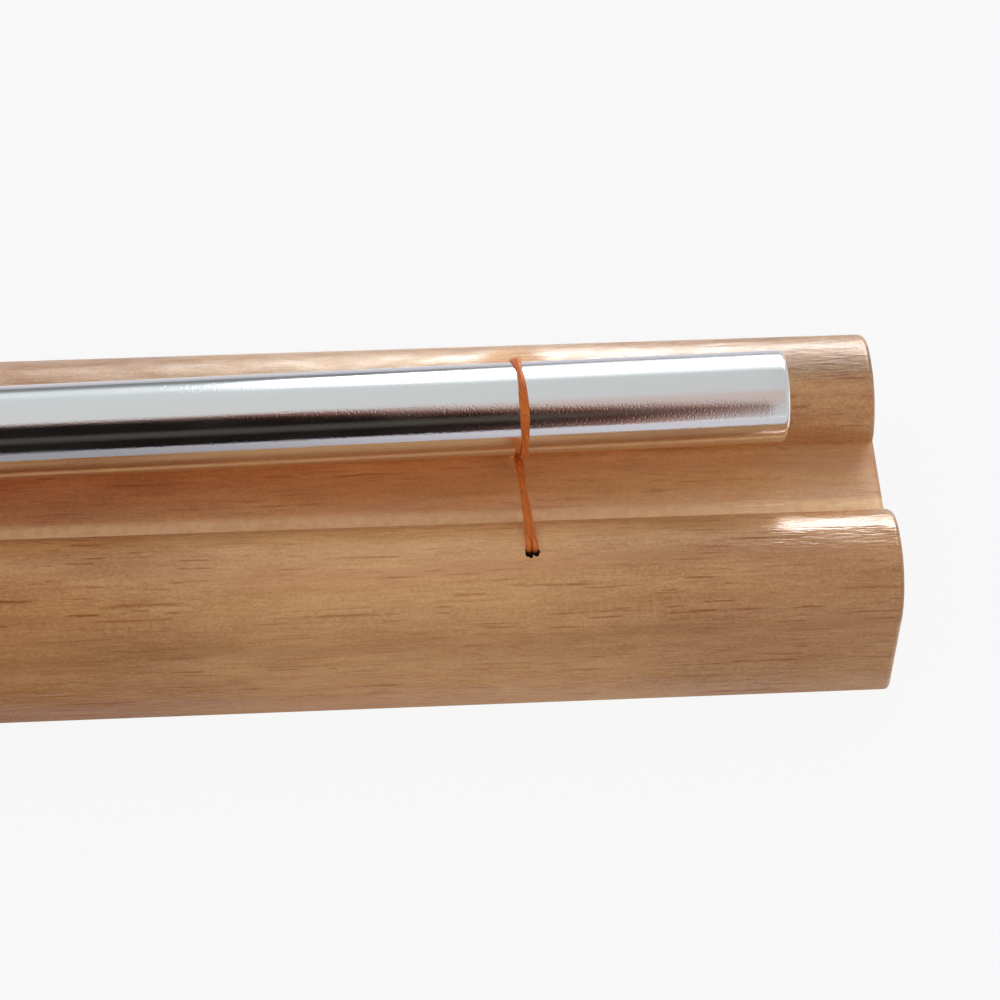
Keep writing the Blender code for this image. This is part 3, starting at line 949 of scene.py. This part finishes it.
def bright_window():
    """A window with a round left end and a hazy top, brightest to the right, on a wall that darkens
    downwards."""
    material, tree = empty_material("bright_window")
    at = measured_place(tree)
    off_middle = combined(tree, "POWER", combined(tree, "SUBTRACT", at["Z"], WINDOW_MIDDLE), 2.0)
    within = combined(tree, "SUBTRACT", at["X"], combined(tree, "MULTIPLY", off_middle, 0.55))
    haze = product(
        tree, ramped(tree, within, 0.00, 0.06, 0.0, 0.85), ramped(tree, at["Z"], 0.62, 0.93, 1.0, 0.0)
    )
    height = product(
        tree, ramped(tree, at["Z"], 0.18, 0.30), ramped(tree, at["Z"], 0.47, 0.54, 1.0, 0.0)
    )
    bright = product(tree, ramped(tree, at["X"], 0.02, 0.22, 0.0, WINDOW_SHINE), height)
    daylight = combined(tree, "ADD", haze, bright)
    wall = ramped(tree, at["Z"], 0.14, 0.40, 0.235, 0.80)
    dimmed = combined(tree, "SUBTRACT", wall, ramped(tree, at["Z"], 0.52, 0.70, 0.0, 0.12))
    level = combined(tree, "ADD", daylight, dimmed)
    shine = add(tree, "ShaderNodeEmission", {"Color": WINDOW_WHITE, "Strength": level}).outputs[0]
    add(tree, "ShaderNodeOutputMaterial", {"Surface": shine})
    return material


def sheet_of(name, corners, material):
    shape = bmesh.new()
    shape.faces.new([shape.verts.new(corner) for corner in corners])
    obj = object_of(name, shape, material)
    return obj


sheet_of("table", [(-4, -4, 0), (4, -4, 0), (4, 4, 0), (-4, 4, 0)], white_table())
# The front card dims near the chime: a painted shadow of the chime on the table, as the reflections see it.
front_paper = glowing("front_paper", CARD_GREY, "X", -0.02, 0.09, 0.34, 0.64, near=-0.045)
back_paper = glowing("back_paper", CARD_GREY, "Y", 0.08, 0.50, 0.64, 0.235)
for name, left, right, low, high, material in (
    ("screen", -0.55, 0.30, (-0.600, 0.0000), (-0.248, 0.8400), dark_screen()),
    ("front_card", -1.0, 1.0, (-0.600, 0.0005), (-0.028, 0.0005), front_paper),
    ("back_card", -1.0, 1.0, (0.060, 0.0005), (1.200, 0.0005), back_paper),
    ("window", -0.40, 0.85, (1.050, 0.0005), (0.560, 0.9420), bright_window()),
):
    sheet = sheet_of(name, [(left, *low), (right, *low), (right, *high), (left, *high)], material)
    sheet.visible_camera = False
    sheet.visible_diffuse = False
    sheet.visible_shadow = False
    sheet.visible_transmission = False

light_place = Vector((0.425, 0.914, 0.42))
light_aim = Vector((0.425, 0.0, 0.02))
light = bpy.data.lights.new("back_light", "AREA")
light.shape = "RECTANGLE"
light.size = 0.85
light.size_y = 0.39
light.energy = 0.4
back_light = bpy.data.objects.new("back_light", light)
bpy.context.scene.collection.objects.link(back_light)
back_light.location = light_place
back_light.rotation_mode = "QUATERNION"
back_light.rotation_quaternion = (light_aim - light_place).to_track_quat("-Z", "Y")
back_light.visible_glossy = False

world = bpy.data.worlds.new("soft_light")
world.use_nodes = True
sky = world.node_tree
shining = sky.nodes["Background"].inputs
way = add(sky, "ShaderNodeSeparateXYZ", {0: add(sky, "ShaderNodeTexCoord").outputs["Generated"]}).outputs
sky.links.new(ramped(sky, way["X"], 0.0, 0.25, 0.66, 0.58), shining["Strength"])
shining["Color"].default_value = SKY_WHITE
bpy.context.scene.world = world
bpy.context.scene.view_settings.view_transform = "Standard"

camera_place = Vector((-0.013297, -0.399939, 0.533956))
camera_right = Vector((0.9957207, -0.0797785, 0.0466436))
camera_up = Vector((0.0345955, 0.7898177, 0.6123652))
camera_turn = Matrix((camera_right, camera_up, camera_right.cross(camera_up))).transposed().to_4x4()
camera_data = bpy.data.cameras.new("camera")
camera_data.sensor_width = 36.0
camera_data.lens = 166.384
camera = bpy.data.objects.new("camera", camera_data)
bpy.context.scene.collection.objects.link(camera)
camera.matrix_world = Matrix.Translation(camera_place) @ camera_turn
bpy.context.scene.camera = camera
